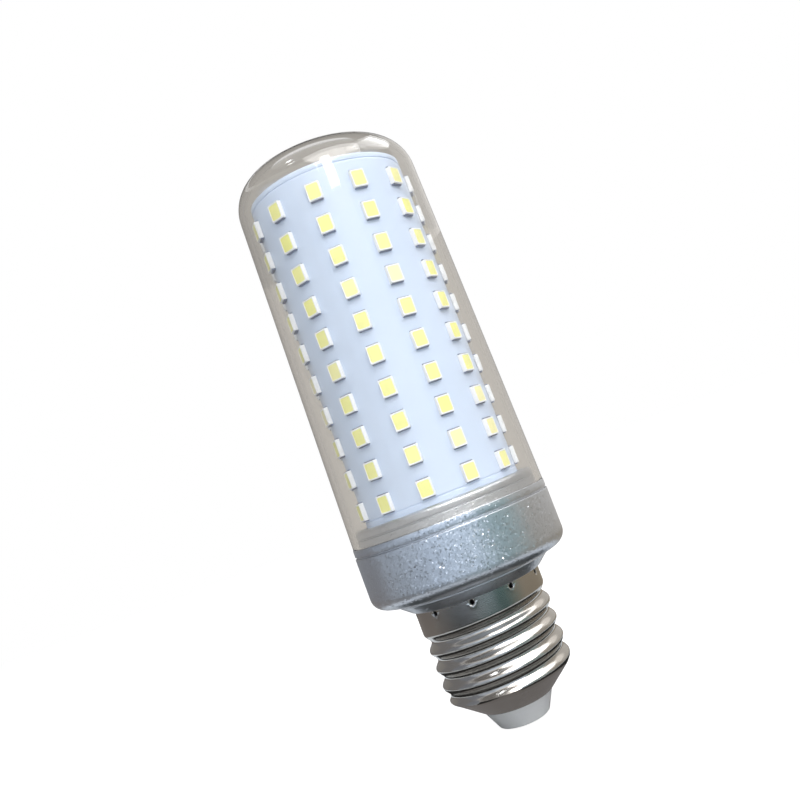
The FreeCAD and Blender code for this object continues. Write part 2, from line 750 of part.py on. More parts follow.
def live_route():
    """From the top of the nail, under the card's lower edge and up its front face."""
    radius = size("cap_wire_dia / 2")
    nail, card, room = size(NAIL_TOP), size(CARD_BASE), size("card_clear")
    across, out = -size("cap_wire_offset"), -(size(CARD_FACE) + radius + size("wire_gap"))
    return [
        FreeCAD.Vector(0, 0, nail),
        FreeCAD.Vector(0, 0, nail + room * LIVE_BENDS[0]),
        FreeCAD.Vector(across * LIVE_TURN, out, nail + room * LIVE_BENDS[1]),
        FreeCAD.Vector(across, out, card + size("cap_wire_hold / 3")),
        FreeCAD.Vector(across, out, card + size("cap_wire_hold")),
    ]


def neutral_route():
    """From the card's rear face, down and straight out to the inside of the shell."""
    radius = size("cap_wire_dia / 2")
    turn = FreeCAD.Vector(size("cap_wire_offset"), size(CARD_FACE) + radius + size("wire_gap"), 0)
    reach = math.sqrt((size(SHELL_BORE) - size("wire_gap")) ** 2 - radius ** 2)
    base = FreeCAD.Vector(0, 0, size(CARD_BASE))
    top = base + FreeCAD.Vector(0, 0, size("cap_wire_hold"))
    return [turn + top, turn + base, turn * (reach / turn.Length) + base]


def lead_route(side):
    """From the card's head, up and out to the inside of the LED board."""
    radius = size("lead_dia / 2")
    head = size(f"{COLLAR_FLOOR} + card_head_height")
    across, out = side * size("lead_offset"), -(size(CARD_FACE) + radius + size("wire_gap"))
    wall = size(BOARD_BORE) - radius - size("wire_gap")
    wall_out = -math.sqrt(wall ** 2 - across ** 2)
    climb = size("lead_climb")
    return [
        FreeCAD.Vector(across, out, head - size("lead_hold")),
        FreeCAD.Vector(across, out, head + climb * LEAD_BENDS[0]),
        FreeCAD.Vector(across, wall_out, head + climb * LEAD_BENDS[1]),
        FreeCAD.Vector(across, wall_out, head + climb),
    ]


def make_solder_joints(ends, wires, carriers):
    """A bead round each wire's end, cut to the wire and to what it is soldered to."""
    beads = []
    for place, wire, carrier in zip(ends, wires, carriers):
        bead = Part.makeSphere(size("solder_dia / 2"), place)
        bead = bead.cut(wire.Shape).cut(carrier.Shape)
        beads.append(max(bead.Solids, key=lambda solid: solid.Volume))
    return keep_shape("solder_joints", Part.makeCompound(beads))


def make_wires(card, board):
    """The live and neutral wires of the cap, the two LED leads, and their solder."""
    routes = {
        "live_wire": (live_route(), "cap_wire_dia"),
        "neutral_wire": (neutral_route(), "cap_wire_dia"),
        "led_positive_lead": (lead_route(1), "lead_dia"),
        "led_negative_lead": (lead_route(-1), "lead_dia"),
    }
    wires = {}
    for name, (points, diameter) in routes.items():
        wires[name] = keep_shape(name, wire_along(points, size(diameter)))
    leads = ("led_positive_lead", "led_negative_lead")
    ends = [routes["live_wire"][0][-1], routes["neutral_wire"][0][0]]
    ends += [routes[name][0][0] for name in leads] + [routes[name][0][-1] for name in leads]
    soldered = [wires["live_wire"], wires["neutral_wire"]] + [wires[name] for name in leads] * 2
    carriers = [card] * 4 + [board] * 2
    return list(wires.values()) + [make_solder_joints(ends, soldered, carriers)]


pieces = [
    make_contact_nail(),
    make_insulator(),
    make_screw_shell(),
    make_housing(),
    make_clear_cover(),
    make_led_board(),
    make_top_plate(),
    make_led_housings(),
    make_led_phosphors(),
    make_led_terminals(),
    make_driver_card(),
    make_bridge_rectifier(),
    make_driver_chip(),
    make_sense_resistors(),
    make_bulk_capacitor(),
    make_fuse_resistor(),
]
doc.recompute()
named = {piece.Label: piece for piece in pieces}
pieces += make_wires(named["driver_card"], named["led_board"])
doc.recompute()

for item in doc.Objects:
    if "Invalid" in item.State or "Error" in item.State:
        raise RuntimeError(f"{item.Name} failed: {item.State}")
for piece in pieces:
    if piece.Shape.isNull() or not piece.Shape.isValid():
        raise RuntimeError(f"{piece.Label} has no valid shape")

os.makedirs("parts", exist_ok=True)
for piece in pieces:
    piece.Shape.exportStep(f"parts/{piece.Label}.step")
    print(piece.Label, len(piece.Shape.Solids), "solids", round(piece.Shape.Volume, 2), "mm3")
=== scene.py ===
# %% [markdown]
# # A corn LED lamp
# The lamp is a clear domed cover over a rolled white board with LEDs all round it, a silver
# collar below, and a screw cap at the foot. The CAD model gives every piece its place, so this
# lesson loads it first as a fixed frame, and then dresses it piece by piece.

# %% Load the CAD frame
import math
import random

import bpy
from mathutils import Matrix, Vector


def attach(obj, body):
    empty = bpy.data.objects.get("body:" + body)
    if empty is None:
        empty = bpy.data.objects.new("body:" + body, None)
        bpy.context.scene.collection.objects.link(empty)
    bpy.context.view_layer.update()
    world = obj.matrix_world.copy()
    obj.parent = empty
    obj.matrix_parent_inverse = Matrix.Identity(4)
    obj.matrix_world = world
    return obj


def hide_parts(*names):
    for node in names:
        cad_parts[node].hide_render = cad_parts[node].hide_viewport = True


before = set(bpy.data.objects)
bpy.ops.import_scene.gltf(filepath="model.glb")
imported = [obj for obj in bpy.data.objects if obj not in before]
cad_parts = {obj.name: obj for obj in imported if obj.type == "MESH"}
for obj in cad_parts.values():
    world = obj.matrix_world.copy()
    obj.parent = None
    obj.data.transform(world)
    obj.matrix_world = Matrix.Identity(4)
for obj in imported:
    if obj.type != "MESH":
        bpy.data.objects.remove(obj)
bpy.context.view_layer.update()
MM = 0.001

# %% [markdown]
# ## The camera
# The photograph was taken close to the lamp, with the lamp leaning to the left in the picture. A
# CAD model stands upright, so here the camera leans instead: its roll makes the lean. The lens and
# the distance were solved from the rows of LEDs, whose true spacing is even, and from the cap.

# %% Camera
bpy.ops.object.camera_add(location=(0.02128, -0.16202, 0.05042))
camera = bpy.context.object
camera.name = "photo_camera"
camera.rotation_euler = [math.radians(angle) for angle in (95.134, 20.916, 5.920)]
camera.data.lens = 36.018
camera.data.shift_x = -0.07
camera.data.clip_start = 0.005
bpy.context.scene.camera = camera
bpy.context.view_layer.update()
camera_axes = camera.matrix_world.to_3x3()
print("camera looks along", [round(value, 3) for value in -camera_axes.col[2]])

# %% [markdown]
# ## Turning a section
# Most pieces of a lamp are round, so they are made as on a lathe. One corner of a section is
# extruded from point to point, which draws half of the outline, and Spin then carries that line
# round the axis. Drawing the section leaves each radius and height free, where a stack of
# cylinders would not. Spin can leave the faces inside out, so doubles are merged and normals
# recalculated at once.

# %% Lathe tools
def let_go():
    """Leave edit mode and deselect everything, because an operator acts on all that is selected."""
    if bpy.context.object and bpy.context.object.mode != "OBJECT":
        bpy.ops.object.mode_set(mode="OBJECT")
    bpy.ops.object.select_all(action="DESELECT")


def arc(across, up, radius, start, stop, steps):
    """Points on an arc in a section, from one angle to another, in degrees."""
    turns = [math.radians(start + (stop - start) * step / steps) for step in range(steps + 1)]
    return [(across + radius * math.cos(turn), up + radius * math.sin(turn)) for turn in turns]


def held(section, gap=0.3):
    """A section with a point near each end of a long run, so that a bevel shades only its own edge."""
    points = []
    for (across, up), (far, top) in zip(section, section[1:] + section[:1]):
        points.append((across, up))
        run = math.hypot(far - across, top - up)
        if run > 5 * gap and across + far > 0:
            for share in (gap / run, 1 - gap / run):
                points.append((across + (far - across) * share, up + (top - up) * share))
    return points


def turned(name, section, steps, sweep=360.0, start=0.0):
    """A piece spun about Z from a closed section of (radius, height) points in millimetres."""
    section = held(section)
    let_go()
    bpy.ops.mesh.primitive_plane_add(size=MM)
    piece = bpy.context.object
    piece.name = name
    bpy.ops.object.mode_set(mode="EDIT")
    bpy.ops.mesh.select_mode(type="VERT")
    bpy.ops.mesh.select_all(action="SELECT")
    bpy.ops.mesh.merge(type="CENTER")
    facing = Vector((math.cos(math.radians(start)), math.sin(math.radians(start)), 0))
    corners = [facing * radius * MM + Vector((0, 0, height * MM)) for radius, height in section]
    corners.append(corners[0])
    bpy.ops.transform.translate(value=corners[0])
    for here, there in zip(corners, corners[1:]):
        bpy.ops.mesh.extrude_region_move(TRANSFORM_OT_translate={"value": there - here})
    bpy.ops.mesh.select_all(action="SELECT")
    bpy.ops.mesh.remove_doubles(threshold=1e-7)
    if sweep < 360:
        bpy.ops.mesh.edge_face_add()
    bpy.ops.mesh.spin(steps=steps, angle=math.radians(sweep), center=(0, 0, 0), axis=(0, 0, 1))
    bpy.ops.mesh.select_all(action="SELECT")
    bpy.ops.mesh.remove_doubles(threshold=1e-7)
    bpy.ops.mesh.normals_make_consistent(inside=False)
    bpy.ops.object.mode_set(mode="OBJECT")
    return piece


def soften(piece, width, segments=2, sharp=30.0):
    """Round the sharp edges, as moulding, pressing or painting does, and shade the rest smooth."""
    let_go()
    piece.select_set(True)
    bpy.context.view_layer.objects.active = piece
    if width:
        bevel = piece.modifiers.new("soft_edges", "BEVEL")
        bevel.width = width * MM
        bevel.segments = segments
        bevel.limit_method = "ANGLE"
        bevel.angle_limit = math.radians(sharp)
        bpy.ops.object.modifier_apply(modifier=bevel.name)
    bpy.ops.object.shade_smooth_by_angle(angle=math.radians(40))
    return piece


def stands_for(piece, slot, *nodes):
    """Tie a finished piece to the lamp's body, in the place of its CAD nodes."""
    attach(piece, "root")
    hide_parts(*nodes)
    low = [min(vertex.co[axis] for vertex in piece.data.vertices) / MM for axis in range(3)]
    high = [max(vertex.co[axis] for vertex in piece.data.vertices) / MM for axis in range(3)]
    print(piece.name, len(piece.data.polygons), "faces,", [round(value, 2) for value in low + high])

# %% [markdown]
# ## The clear cover
# The cover is one moulding of clear plastic: a tube with a little draft, a tight corner and a low
# dome. Light bends twice in every wall, so a single skin would look wrong. The section therefore
# has an outside and an inside, and the wall between them is real.

# %% Clear cover
COVER_FOOT, COVER_HEAD, DOME_TOP = 43.15, 113.15, 122.25
COVER_WALL, DOME_CORNER = 1.2, 7.4


def dome_side(inset):
    """The cover's outline from foot to crown, drawn inside its outside by inset."""
    foot, head, corner, top = 20.3 - inset, 19.0 - inset, DOME_CORNER - inset, DOME_TOP - inset
    hub, rise = head - corner, top - COVER_HEAD
    crown = (hub ** 2 + rise ** 2 - corner ** 2) / (2 * (rise - corner))
    lean = math.degrees(math.atan2(COVER_HEAD - (top - crown), hub))
    wall = [(foot + (head - foot) * step / 8, COVER_FOOT + (COVER_HEAD - COVER_FOOT) * step / 8)
            for step in range(8)]
    bend = arc(hub, COVER_HEAD, corner, 0, lean, 12)
    lid = arc(0, top - crown, crown, lean, 90, 10)[1:]
    return wall + bend + lid


cover_moulding = turned("cover_moulding", dome_side(0) + dome_side(COVER_WALL)[::-1], 160)
soften(cover_moulding, 0.12)
stands_for(cover_moulding, "clear_plastic", "clear_cover")

# %% [markdown]
# ## The silver collar
# The collar is cast or turned metal with a painted finish. From the cap upwards it has a neck, a
# flared ring, a rounded lower edge, a plain wall, a fine parting groove, a band and the spigot
# that holds the cover. All of that is one section, so it is turned in one go, and a bevel then
# breaks the sharp edges, because it is edges that catch the light.

# %% Silver collar
collar_section = [
    (12.6, 25.9), (12.6, 27.7), (13.8, 27.7), (16.2, 29.7), (16.2, 30.0),
    *arc(17.9, 32.9, 2.6, -90, 0, 8),
    (20.5, 41.3), (20.0, 41.3), (20.0, 41.65), (20.4, 41.65), (20.4, 43.15),
    (18.9, 43.15), (18.9, 44.5), (18.65, 44.5), (18.65, 44.8), (18.9, 44.8),
    *arc(18.0, 45.4, 0.9, 0, 90, 5),
    (16.35, 46.3), (16.35, 44.9), (15.15, 44.9), (15.15, 31.9), (10.4, 31.9), (10.4, 25.9),
]
silver_collar = turned("silver_collar", collar_section, 192)
soften(silver_collar, 0.1, 3)
stands_for(silver_collar, "silver_collar", "housing")

# %% [markdown]
# ## The LED board
# The board is a flat strip of white circuit board that is rolled into a tube, so it has a seam. A
# section spun not quite all the way round leaves that seam open, at the back, where the strip's
# ends meet. The small plate that closes its upper end is turned too.

# %% Rolled board and top plate
BOARD_RADIUS, BOARD_INSIDE, BOARD_BASE, BOARD_TOP = 16.2, 15.4, 44.9, 114.4
SCORE_RADIUS, SCORE_WIDTH = 16.08, 0.25
SEAM, SEAM_GAP = 105.0, math.degrees(0.6 / BOARD_RADIUS)
board_section = [(BOARD_INSIDE, BOARD_BASE), (BOARD_RADIUS, BOARD_BASE)]
for score in (47.3, 113.15):
    board_section += [(BOARD_RADIUS, score), (SCORE_RADIUS, score)]
    board_section += [(SCORE_RADIUS, score + SCORE_WIDTH), (BOARD_RADIUS, score + SCORE_WIDTH)]
board_section += [(BOARD_RADIUS, BOARD_TOP), (BOARD_INSIDE, BOARD_TOP)]
rolled_board = turned("rolled_board", board_section, 180, 360 - SEAM_GAP, SEAM + SEAM_GAP / 2)
soften(rolled_board, 0.04)
stands_for(rolled_board, "white_mask", "led_board")
plate_section = [(0, 112.9), (15.3, 112.9), (15.3, 113.9), (1.2, 113.9), (1.2, 113.6), (0, 113.6)]
end_plate = turned("end_plate", plate_section, 96)
soften(end_plate, 0.08)
stands_for(end_plate, "white_mask", "top_plate")

# %% [markdown]
# ## One LED
# An LED is a white moulded frame round a window that is filled with yellow phosphor, with a
# soldered terminal at each end. A rounded rectangle is made from a plane by bevelling its
# corners. The frame grows from its window: each time the outline is extruded, the new loop is
# spread to the next outline, the rim, the chamfer and the foot. Only a few dozen faces are used,
# because the LED comes back 120 times.

# %% LED frame
LED_WIDTH, LED_LENGTH, LED_HEIGHT, FIRST_ROW = 2.8, 3.5, 0.88, 49.6
WINDOW_WIDTH, WINDOW_LENGTH, WINDOW_CORNER, WINDOW_DEPTH = 2.36, 2.96, 0.32, 0.14
WINDOW_TAPER = (0.94, 1, 0.955)
LED_CORNER, RIM_CORNER, RIM_INSET, DRAFT, CHAMFER_DROP = 0.13, 0.1, 0.08, 0.02, 0.07


def rounded_plane(width, length, corner, lift, segments=3):
    """In edit mode, a flat rounded rectangle on the front of the board, lifted off it."""
    place = Vector((0, -(BOARD_RADIUS + lift) * MM, FIRST_ROW * MM))
    bpy.ops.mesh.select_all(action="DESELECT")
    bpy.ops.mesh.primitive_plane_add(size=MM, location=place, rotation=(math.radians(90), 0, 0))
    bpy.ops.transform.resize(value=(width, 1, length), center_override=place)
    bpy.ops.mesh.bevel(offset=corner * MM, segments=segments, affect="VERTICES")
    return place


def start_piece(name):
    """An empty mesh in edit mode, ready for shapes to be added to it."""
    let_go()
    bpy.ops.mesh.primitive_plane_add(size=MM)
    piece = bpy.context.object
    piece.name = name
    bpy.ops.object.mode_set(mode="EDIT")
    bpy.ops.mesh.select_mode(type="VERT")
    bpy.ops.mesh.delete(type="VERT")
    return piece


def pick(piece, kind, test):
    """In edit mode, select the vertices, edges or faces that pass a test on their middle."""
    bpy.ops.mesh.select_mode(type=kind)
    bpy.ops.mesh.select_all(action="DESELECT")
    bpy.ops.object.mode_set(mode="OBJECT")
    mesh = piece.data
    if kind == "FACE":
        for face in mesh.polygons:
            face.select = test(face.center / MM, face.normal)
    elif kind == "EDGE":
        for edge in mesh.edges:
            ends = [mesh.vertices[index].co for index in edge.vertices]
            edge.select = test((ends[0] + ends[1]) / 2 / MM)
    else:
        for vertex in mesh.vertices:
            vertex.select = test(vertex.co / MM)
    bpy.ops.object.mode_set(mode="EDIT")


def tidy(piece):
    """Merge doubles, turn the faces outwards and leave edit mode."""
    bpy.ops.mesh.select_all(action="SELECT")
    bpy.ops.mesh.remove_doubles(threshold=1e-7)
    bpy.ops.mesh.normals_make_consistent(inside=False)
    bpy.ops.object.mode_set(mode="OBJECT")


def spread_loop(piece, loop, width, length, corner, lift):
    """Extrude the selected loop, and lay the new one out as a larger rounded rectangle.

    loop holds the middles of the old loop's round corners, and then those of the new one."""
    bpy.ops.mesh.extrude_region_move()
    bpy.ops.object.mode_set(mode="OBJECT")
    for vertex in piece.data.vertices:
        if vertex.select:
            across, up = vertex.co.x / MM, vertex.co.z / MM - FIRST_ROW
            side, end = math.copysign(1, across), math.copysign(1, up)
            turn = math.atan2(up - end * loop[1], across - side * loop[0])
            across = side * (width / 2 - corner) + corner * math.cos(turn)
            up = end * (length / 2 - corner) + corner * math.sin(turn)
            vertex.co = Vector((across, -(BOARD_RADIUS + lift), FIRST_ROW + up)) * MM
    loop[:] = [width / 2 - corner, length / 2 - corner]
    bpy.ops.object.mode_set(mode="EDIT")


led_frame = start_piece("led_frame")
window = rounded_plane(WINDOW_WIDTH, WINDOW_LENGTH, WINDOW_CORNER, LED_HEIGHT)
loop = [WINDOW_WIDTH / 2 - WINDOW_CORNER, WINDOW_LENGTH / 2 - WINDOW_CORNER]
bpy.ops.mesh.delete(type="ONLY_FACE")
bpy.ops.mesh.select_mode(type="EDGE")
bpy.ops.mesh.select_all(action="SELECT")
spread_loop(led_frame, loop, LED_WIDTH - 2 * RIM_INSET, LED_LENGTH - 2 * RIM_INSET, RIM_CORNER, LED_HEIGHT)
spread_loop(led_frame, loop, LED_WIDTH - 2 * DRAFT, LED_LENGTH - 2 * DRAFT, LED_CORNER,
            LED_HEIGHT - CHAMFER_DROP)
spread_loop(led_frame, loop, LED_WIDTH, LED_LENGTH, LED_CORNER, 0)
bpy.ops.mesh.edge_face_add()
pick(led_frame, "VERT", lambda spot: abs(spot.x) < WINDOW_WIDTH / 2 + 0.001
     and abs(spot.z - FIRST_ROW) < WINDOW_LENGTH / 2 + 0.001)
bpy.ops.mesh.extrude_region_move(TRANSFORM_OT_translate={"value": (0, WINDOW_DEPTH * MM, 0)})
bpy.ops.transform.resize(value=WINDOW_TAPER, center_override=window)
bpy.ops.mesh.edge_face_add()
tidy(led_frame)
print("LED frame faces:", len(led_frame.data.polygons))

# %% LED phosphor and terminals
FILL_GAP, FILL_CORNER_GAP, FILL_DROP, FILL_DEPTH = 0.05, 0.02, 0.12, 0.07
FILL_RIM, FILL_SWELL = 0.3, 0.02
led_phosphor = start_piece("led_phosphor")
rounded_plane(WINDOW_WIDTH - FILL_GAP, WINDOW_LENGTH - FILL_GAP, WINDOW_CORNER - FILL_CORNER_GAP,
              LED_HEIGHT - FILL_DROP)
bpy.ops.mesh.extrude_region_move(TRANSFORM_OT_translate={"value": (0, -FILL_DEPTH * MM, 0)})
bpy.ops.mesh.inset(thickness=FILL_RIM * MM, depth=FILL_SWELL * MM)
tidy(led_phosphor)

# The terminals stand 0.56 mm tall, so that their dark colour makes the painted shadow line at each LED's
# ends.
TAB_WIDTH, TAB_HEIGHT, TAB_REACH, TAB_ROUND = 2.4, 0.56, 0.2, 0.15
led_terminal = start_piece("led_terminal")
for end in (-1, 1):
    middle = FIRST_ROW + end * (LED_LENGTH + TAB_REACH) / 2
    place = (0, -(BOARD_RADIUS + TAB_HEIGHT / 2) * MM, middle * MM)
    bpy.ops.mesh.select_all(action="DESELECT")
    bpy.ops.mesh.primitive_cube_add(size=MM, location=place)
    bpy.ops.transform.resize(value=(TAB_WIDTH, TAB_HEIGHT, TAB_REACH), center_override=place)
tidy(led_terminal)
bpy.ops.object.mode_set(mode="EDIT")
pick(led_terminal, "EDGE", lambda middle: abs(middle.x) < 0.01
     and middle.y < -(BOARD_RADIUS + TAB_HEIGHT - 0.01)
     and abs(middle.z - FIRST_ROW) > LED_LENGTH / 2 + TAB_REACH - 0.01)
bpy.ops.mesh.bevel(offset=TAB_ROUND * MM, segments=3, affect="EDGES")
bpy.ops.object.mode_set(mode="OBJECT")
print("phosphor faces:", len(led_phosphor.data.polygons))
print("terminal faces:", len(led_terminal.data.polygons))

# %% [markdown]
# ## 120 LEDs
# The machine that places LEDs is very good but not perfect, so each copy gets a turn of a fraction
# of a degree. The same seed drives all three pieces of an LED, so they stay together. Each copy
# also keeps a number between 0 and 1, which the phosphor's colour reads, because no two LEDs come
# from the same pour.

# %% Copy the LEDs round the board
ROWS, COLUMNS, ROW_PITCH = 10, 12, 6.6
TWIST, SLIP = 1.2, 0.05


def copies_round_board(model, name):
    """Copies of a model in every row and column, each with its own mesh, joined into one piece."""
    chance = random.Random(7)
    seat = Matrix.Translation((0, 0, FIRST_ROW * MM))
    copies = []
    for column in range(COLUMNS):
        for row in range(ROWS):
            twist = Matrix.Rotation(math.radians(chance.uniform(-TWIST, TWIST)), 4, "Y")
            across, up = chance.uniform(-SLIP, SLIP) * MM, chance.uniform(-SLIP, SLIP) * MM
            slip = Matrix.Translation((across, 0, up))
            lift = Matrix.Translation((0, 0, row * ROW_PITCH * MM))
            spin = Matrix.Rotation(math.radians(column * 360 / COLUMNS), 4, "Z")
            mesh = model.data.copy()
            mesh.transform(spin @ lift @ seat @ slip @ twist @ seat.inverted())
            tone = mesh.attributes.new("pour", "FLOAT", "POINT")
            pour = chance.random()
            tone.data.foreach_set("value", [pour] * len(mesh.vertices))
            copy = bpy.data.objects.new(name, mesh)
            bpy.context.scene.collection.objects.link(copy)
            copies.append(copy)
    let_go()
    for copy in copies:
        copy.select_set(True)
    bpy.context.view_layer.objects.active = copies[0]
    bpy.ops.object.join()
    joined = bpy.context.object
    joined.name = name
    bpy.data.objects.remove(model)
    return joined


led_frames = soften(copies_round_board(led_frame, "led_frames"), 0)
stands_for(led_frames, "led_white", "led_housings")
led_fills = soften(copies_round_board(led_phosphor, "led_fills"), 0)
stands_for(led_fills, "led_phosphor", "led_phosphors")
led_tabs = soften(copies_round_board(led_terminal, "led_tabs"), 0)
stands_for(led_tabs, "led_terminal", "led_terminals")

# %% [markdown]
# ## The screw shell
# The shell is thin sheet metal with a thread rolled into it, so it starts as a flat grid, and each
# point of the grid is rolled round the axis. The thread is a wave along a helix: it starts on the
# cone and runs out into the plain skirt. Ten punch marks lock the skirt to the collar, and the
# grid's columns crowd together there. The depth of the marks stays with the mesh as an attribute,
# from which the finish paints shade into the marks. Solidify then gives the sheet its thickness.

# %% Screw shell
CREST, THREAD_DEPTH, PITCH, THREAD_START, THREAD_RISE = 13.1, 1.0, 3.629, 4.38, 19.05
SHELL_TOP, DENT_HEIGHT, DENTS = 27.7, 27.0, 10
DENT_REACH, DENT_DEPTH, LIP_REACH, LIP_SPREAD, LIP_RISE = 0.7, 0.45, 0.8, 0.12, 0.05
RUN_OUT, CROWDING, SHELL_COLUMNS, SHEET = 0.27, 0.6, 400, 0.35


def spaced(low, high, count):
    """Evenly spaced values from low up to, but without, high."""
    return [low + (high - low) * step / count for step in range(count)]


shell_line = [(radius, 4.5) for radius in spaced(6.0, 7.3, 3)]
shell_line += arc(7.35, 4.8, 0.3, -90, -40, 4)
shell_line += [(7.58 + 4.9 * share, 4.58 + 3.97 * share) for share in spaced(0, 1, 10)]
shell_line += [(12.6, 8.6), (12.85, 8.9), (13.0, 9.25)]
shell_line += [(CREST, height) for height in spaced(9.6, 24.6, 66)]
shell_line += [(CREST, height) for height in spaced(24.6, 26.2, 4)]
shell_line += [(CREST, height) for height in spaced(26.2, SHELL_TOP, 13)] + [(CREST, SHELL_TOP)]


def rolled(turn, radius, height):
    """The sheet's radius where the thread and the punch marks are pressed in, and how deep a mark is."""
    angle = turn * 360
    along = (height - THREAD_START) / PITCH - turn
    groove = round(along)
    wave = 0.5 + 0.5 * math.cos(2 * math.pi * (along - groove))
    turns = groove + turn
    last = THREAD_RISE / PITCH
    fade = 0.0 if turns < 0 else min(1.0, max(0.0, 1 - (turns - last) / RUN_OUT))
    radius = min(radius, CREST - THREAD_DEPTH * fade * wave)
    step = 360 / DENTS
    away = (angle + 90 + step / 2) % step - step / 2
    across, up = math.radians(away) * CREST, height - DENT_HEIGHT
    reach = math.hypot(across, up)
    pit = math.cos(math.pi / 2 * reach / DENT_REACH) ** 2 if reach < DENT_REACH else 0.0
    lip = LIP_RISE * math.exp(-((reach - LIP_REACH) / LIP_SPREAD) ** 2) if up < 0 else 0.0
    return radius + lip - DENT_DEPTH * pit, pit


let_go()
bpy.ops.mesh.primitive_grid_add(x_subdivisions=SHELL_COLUMNS, y_subdivisions=len(shell_line) - 1, size=2)
threaded_shell = bpy.context.object
threaded_shell.name = "threaded_shell"
# The depth of each punch mark is kept so that the nickel finish can paint shade into the marks.
depth = threaded_shell.data.attributes.new("pit", "FLOAT", "POINT")
for vertex in threaded_shell.data.vertices:
    turn = (vertex.co.x + 1) / 2
    turn -= CROWDING * math.sin(2 * math.pi * DENTS * (turn + 0.25)) / (2 * math.pi * DENTS)
    radius, height = shell_line[round((vertex.co.y + 1) / 2 * (len(shell_line) - 1))]
    radius, pit = rolled(turn % 1, radius, height)
    depth.data[vertex.index].value = min(1.0, 2.2 * pit)
    radius *= MM
    angle = turn * 2 * math.pi
    vertex.co = (radius * math.cos(angle), radius * math.sin(angle), height * MM)
bpy.ops.object.mode_set(mode="EDIT")
bpy.ops.mesh.select_all(action="SELECT")
bpy.ops.mesh.remove_doubles(threshold=1e-7)
bpy.ops.mesh.normals_make_consistent(inside=False)
bpy.ops.object.mode_set(mode="OBJECT")
sheet = threaded_shell.modifiers.new("sheet", "SOLIDIFY")
sheet.thickness = SHEET * MM
sheet.offset = -1
bpy.ops.object.modifier_apply(modifier=sheet.name)
soften(threaded_shell, 0)
stands_for(threaded_shell, "nickel_plate", "screw_shell")

# %% [markdown]
# ## The cap's foot
# Below the shell sits a pale plastic insulator that holds the centre contact, a plated nail with a
# low domed head. Both are turned.

# %% Insulator and contact
insulator_section = [
    (1.25, 0.9), (4.05, 0.9), (4.05, 0.5), *arc(4.9, 1.1, 0.6, -90, -15, 5),
    (7.3, 4.5), (5.95, 4.5), (5.95, 4.9), (7.3, 4.9), (9.7, 6.9), (2.5, 6.9), (2.5, 8.0), (1.25, 8.0),
]
foot_plug = turned("foot_plug", insulator_section, 96)
soften(foot_plug, 0.06)
stands_for(foot_plug, "pale_plastic", "insulator")
nail_section = [
    (0, 0), (1.6, 0.02), (2.8, 0.1), (3.5, 0.26), (3.85, 0.48), (3.98, 0.7), (4.0, 0.9),
    (1.2, 0.9), (1.2, 8.9), (1.1, 9.0), (0, 9.0),
]
centre_nail = turned("centre_nail", nail_section, 72)
soften(centre_nail, 0)
stands_for(centre_nail, "nickel_plate", "contact_nail")

# %% [markdown]
# ## Effects that several finishes share
# A material is a small program of nodes. Some effects come back in many finishes, such as a fine
# grain or the faint marks of handling, so each is built once as a node group with named inputs,
# and placed in a material with that material's own values.

# %% Node tools
def add_node(tree, kind, **settings):
    """A node in a tree; names that are inputs set their value, and the rest set properties."""
    node = tree.nodes.new(kind)
    for name, value in settings.items():
        socket = name.replace("_", " ").title()
        if socket in node.inputs:
            node.inputs[socket].default_value = value
        else:
            setattr(node, name, value)
    return node


def new_group(name, inputs, outputs):
    """An empty node group with named sockets: (name, kind, value)."""
    tree = bpy.data.node_groups.new(name, "ShaderNodeTree")
    for label, kind, value in inputs:
        socket = tree.interface.new_socket(label, in_out="INPUT", socket_type=f"NodeSocket{kind}")
        socket.default_value = value
    for label, kind in outputs:
        tree.interface.new_socket(label, in_out="OUTPUT", socket_type=f"NodeSocket{kind}")
    return tree, tree.nodes.new("NodeGroupInput"), tree.nodes.new("NodeGroupOutput")


def place_group(tree, group, **values):
    node = tree.nodes.new("ShaderNodeGroup")
    node.node_tree = group
    for name, value in values.items():
        node.inputs[name.replace("_", " ").title()].default_value = value
    return node

# %% Shared grain, drift, handling and flake groups
grain, grain_in, grain_out = new_group(
    "fine_grain", [("Scale", "Float", 4000.0), ("Contrast", "Float", 1.0)], [("Height", "Float")])
place = add_node(grain, "ShaderNodeTexCoord")
noise = add_node(grain, "ShaderNodeTexNoise", detail=4.0, roughness=0.6)
grain.links.new(place.outputs["Object"], noise.inputs["Vector"])
grain.links.new(grain_in.outputs["Scale"], noise.inputs["Scale"])
power = add_node(grain, "ShaderNodeMath", operation="MULTIPLY")
grain.links.new(noise.outputs["Fac"], power.inputs[0])
grain.links.new(grain_in.outputs["Contrast"], power.inputs[1])
grain.links.new(power.outputs[0], grain_out.inputs["Height"])

drift, drift_in, drift_out = new_group(
    "tone_drift",
    [("Light", "Color", (1, 1, 1, 1)), ("Dark", "Color", (0.9, 0.9, 0.9, 1)), ("Scale", "Float", 60.0)],
    [("Color", "Color")])
place = add_node(drift, "ShaderNodeTexCoord")
noise = add_node(drift, "ShaderNodeTexNoise", detail=3.0, roughness=0.55)
drift.links.new(place.outputs["Object"], noise.inputs["Vector"])
drift.links.new(drift_in.outputs["Scale"], noise.inputs["Scale"])
blend = add_node(drift, "ShaderNodeMix", data_type="RGBA")
drift.links.new(noise.outputs["Fac"], blend.inputs["Factor"])
drift.links.new(drift_in.outputs["Dark"], blend.inputs["A"])
drift.links.new(drift_in.outputs["Light"], blend.inputs["B"])
drift.links.new(blend.outputs["Result"], drift_out.inputs["Color"])

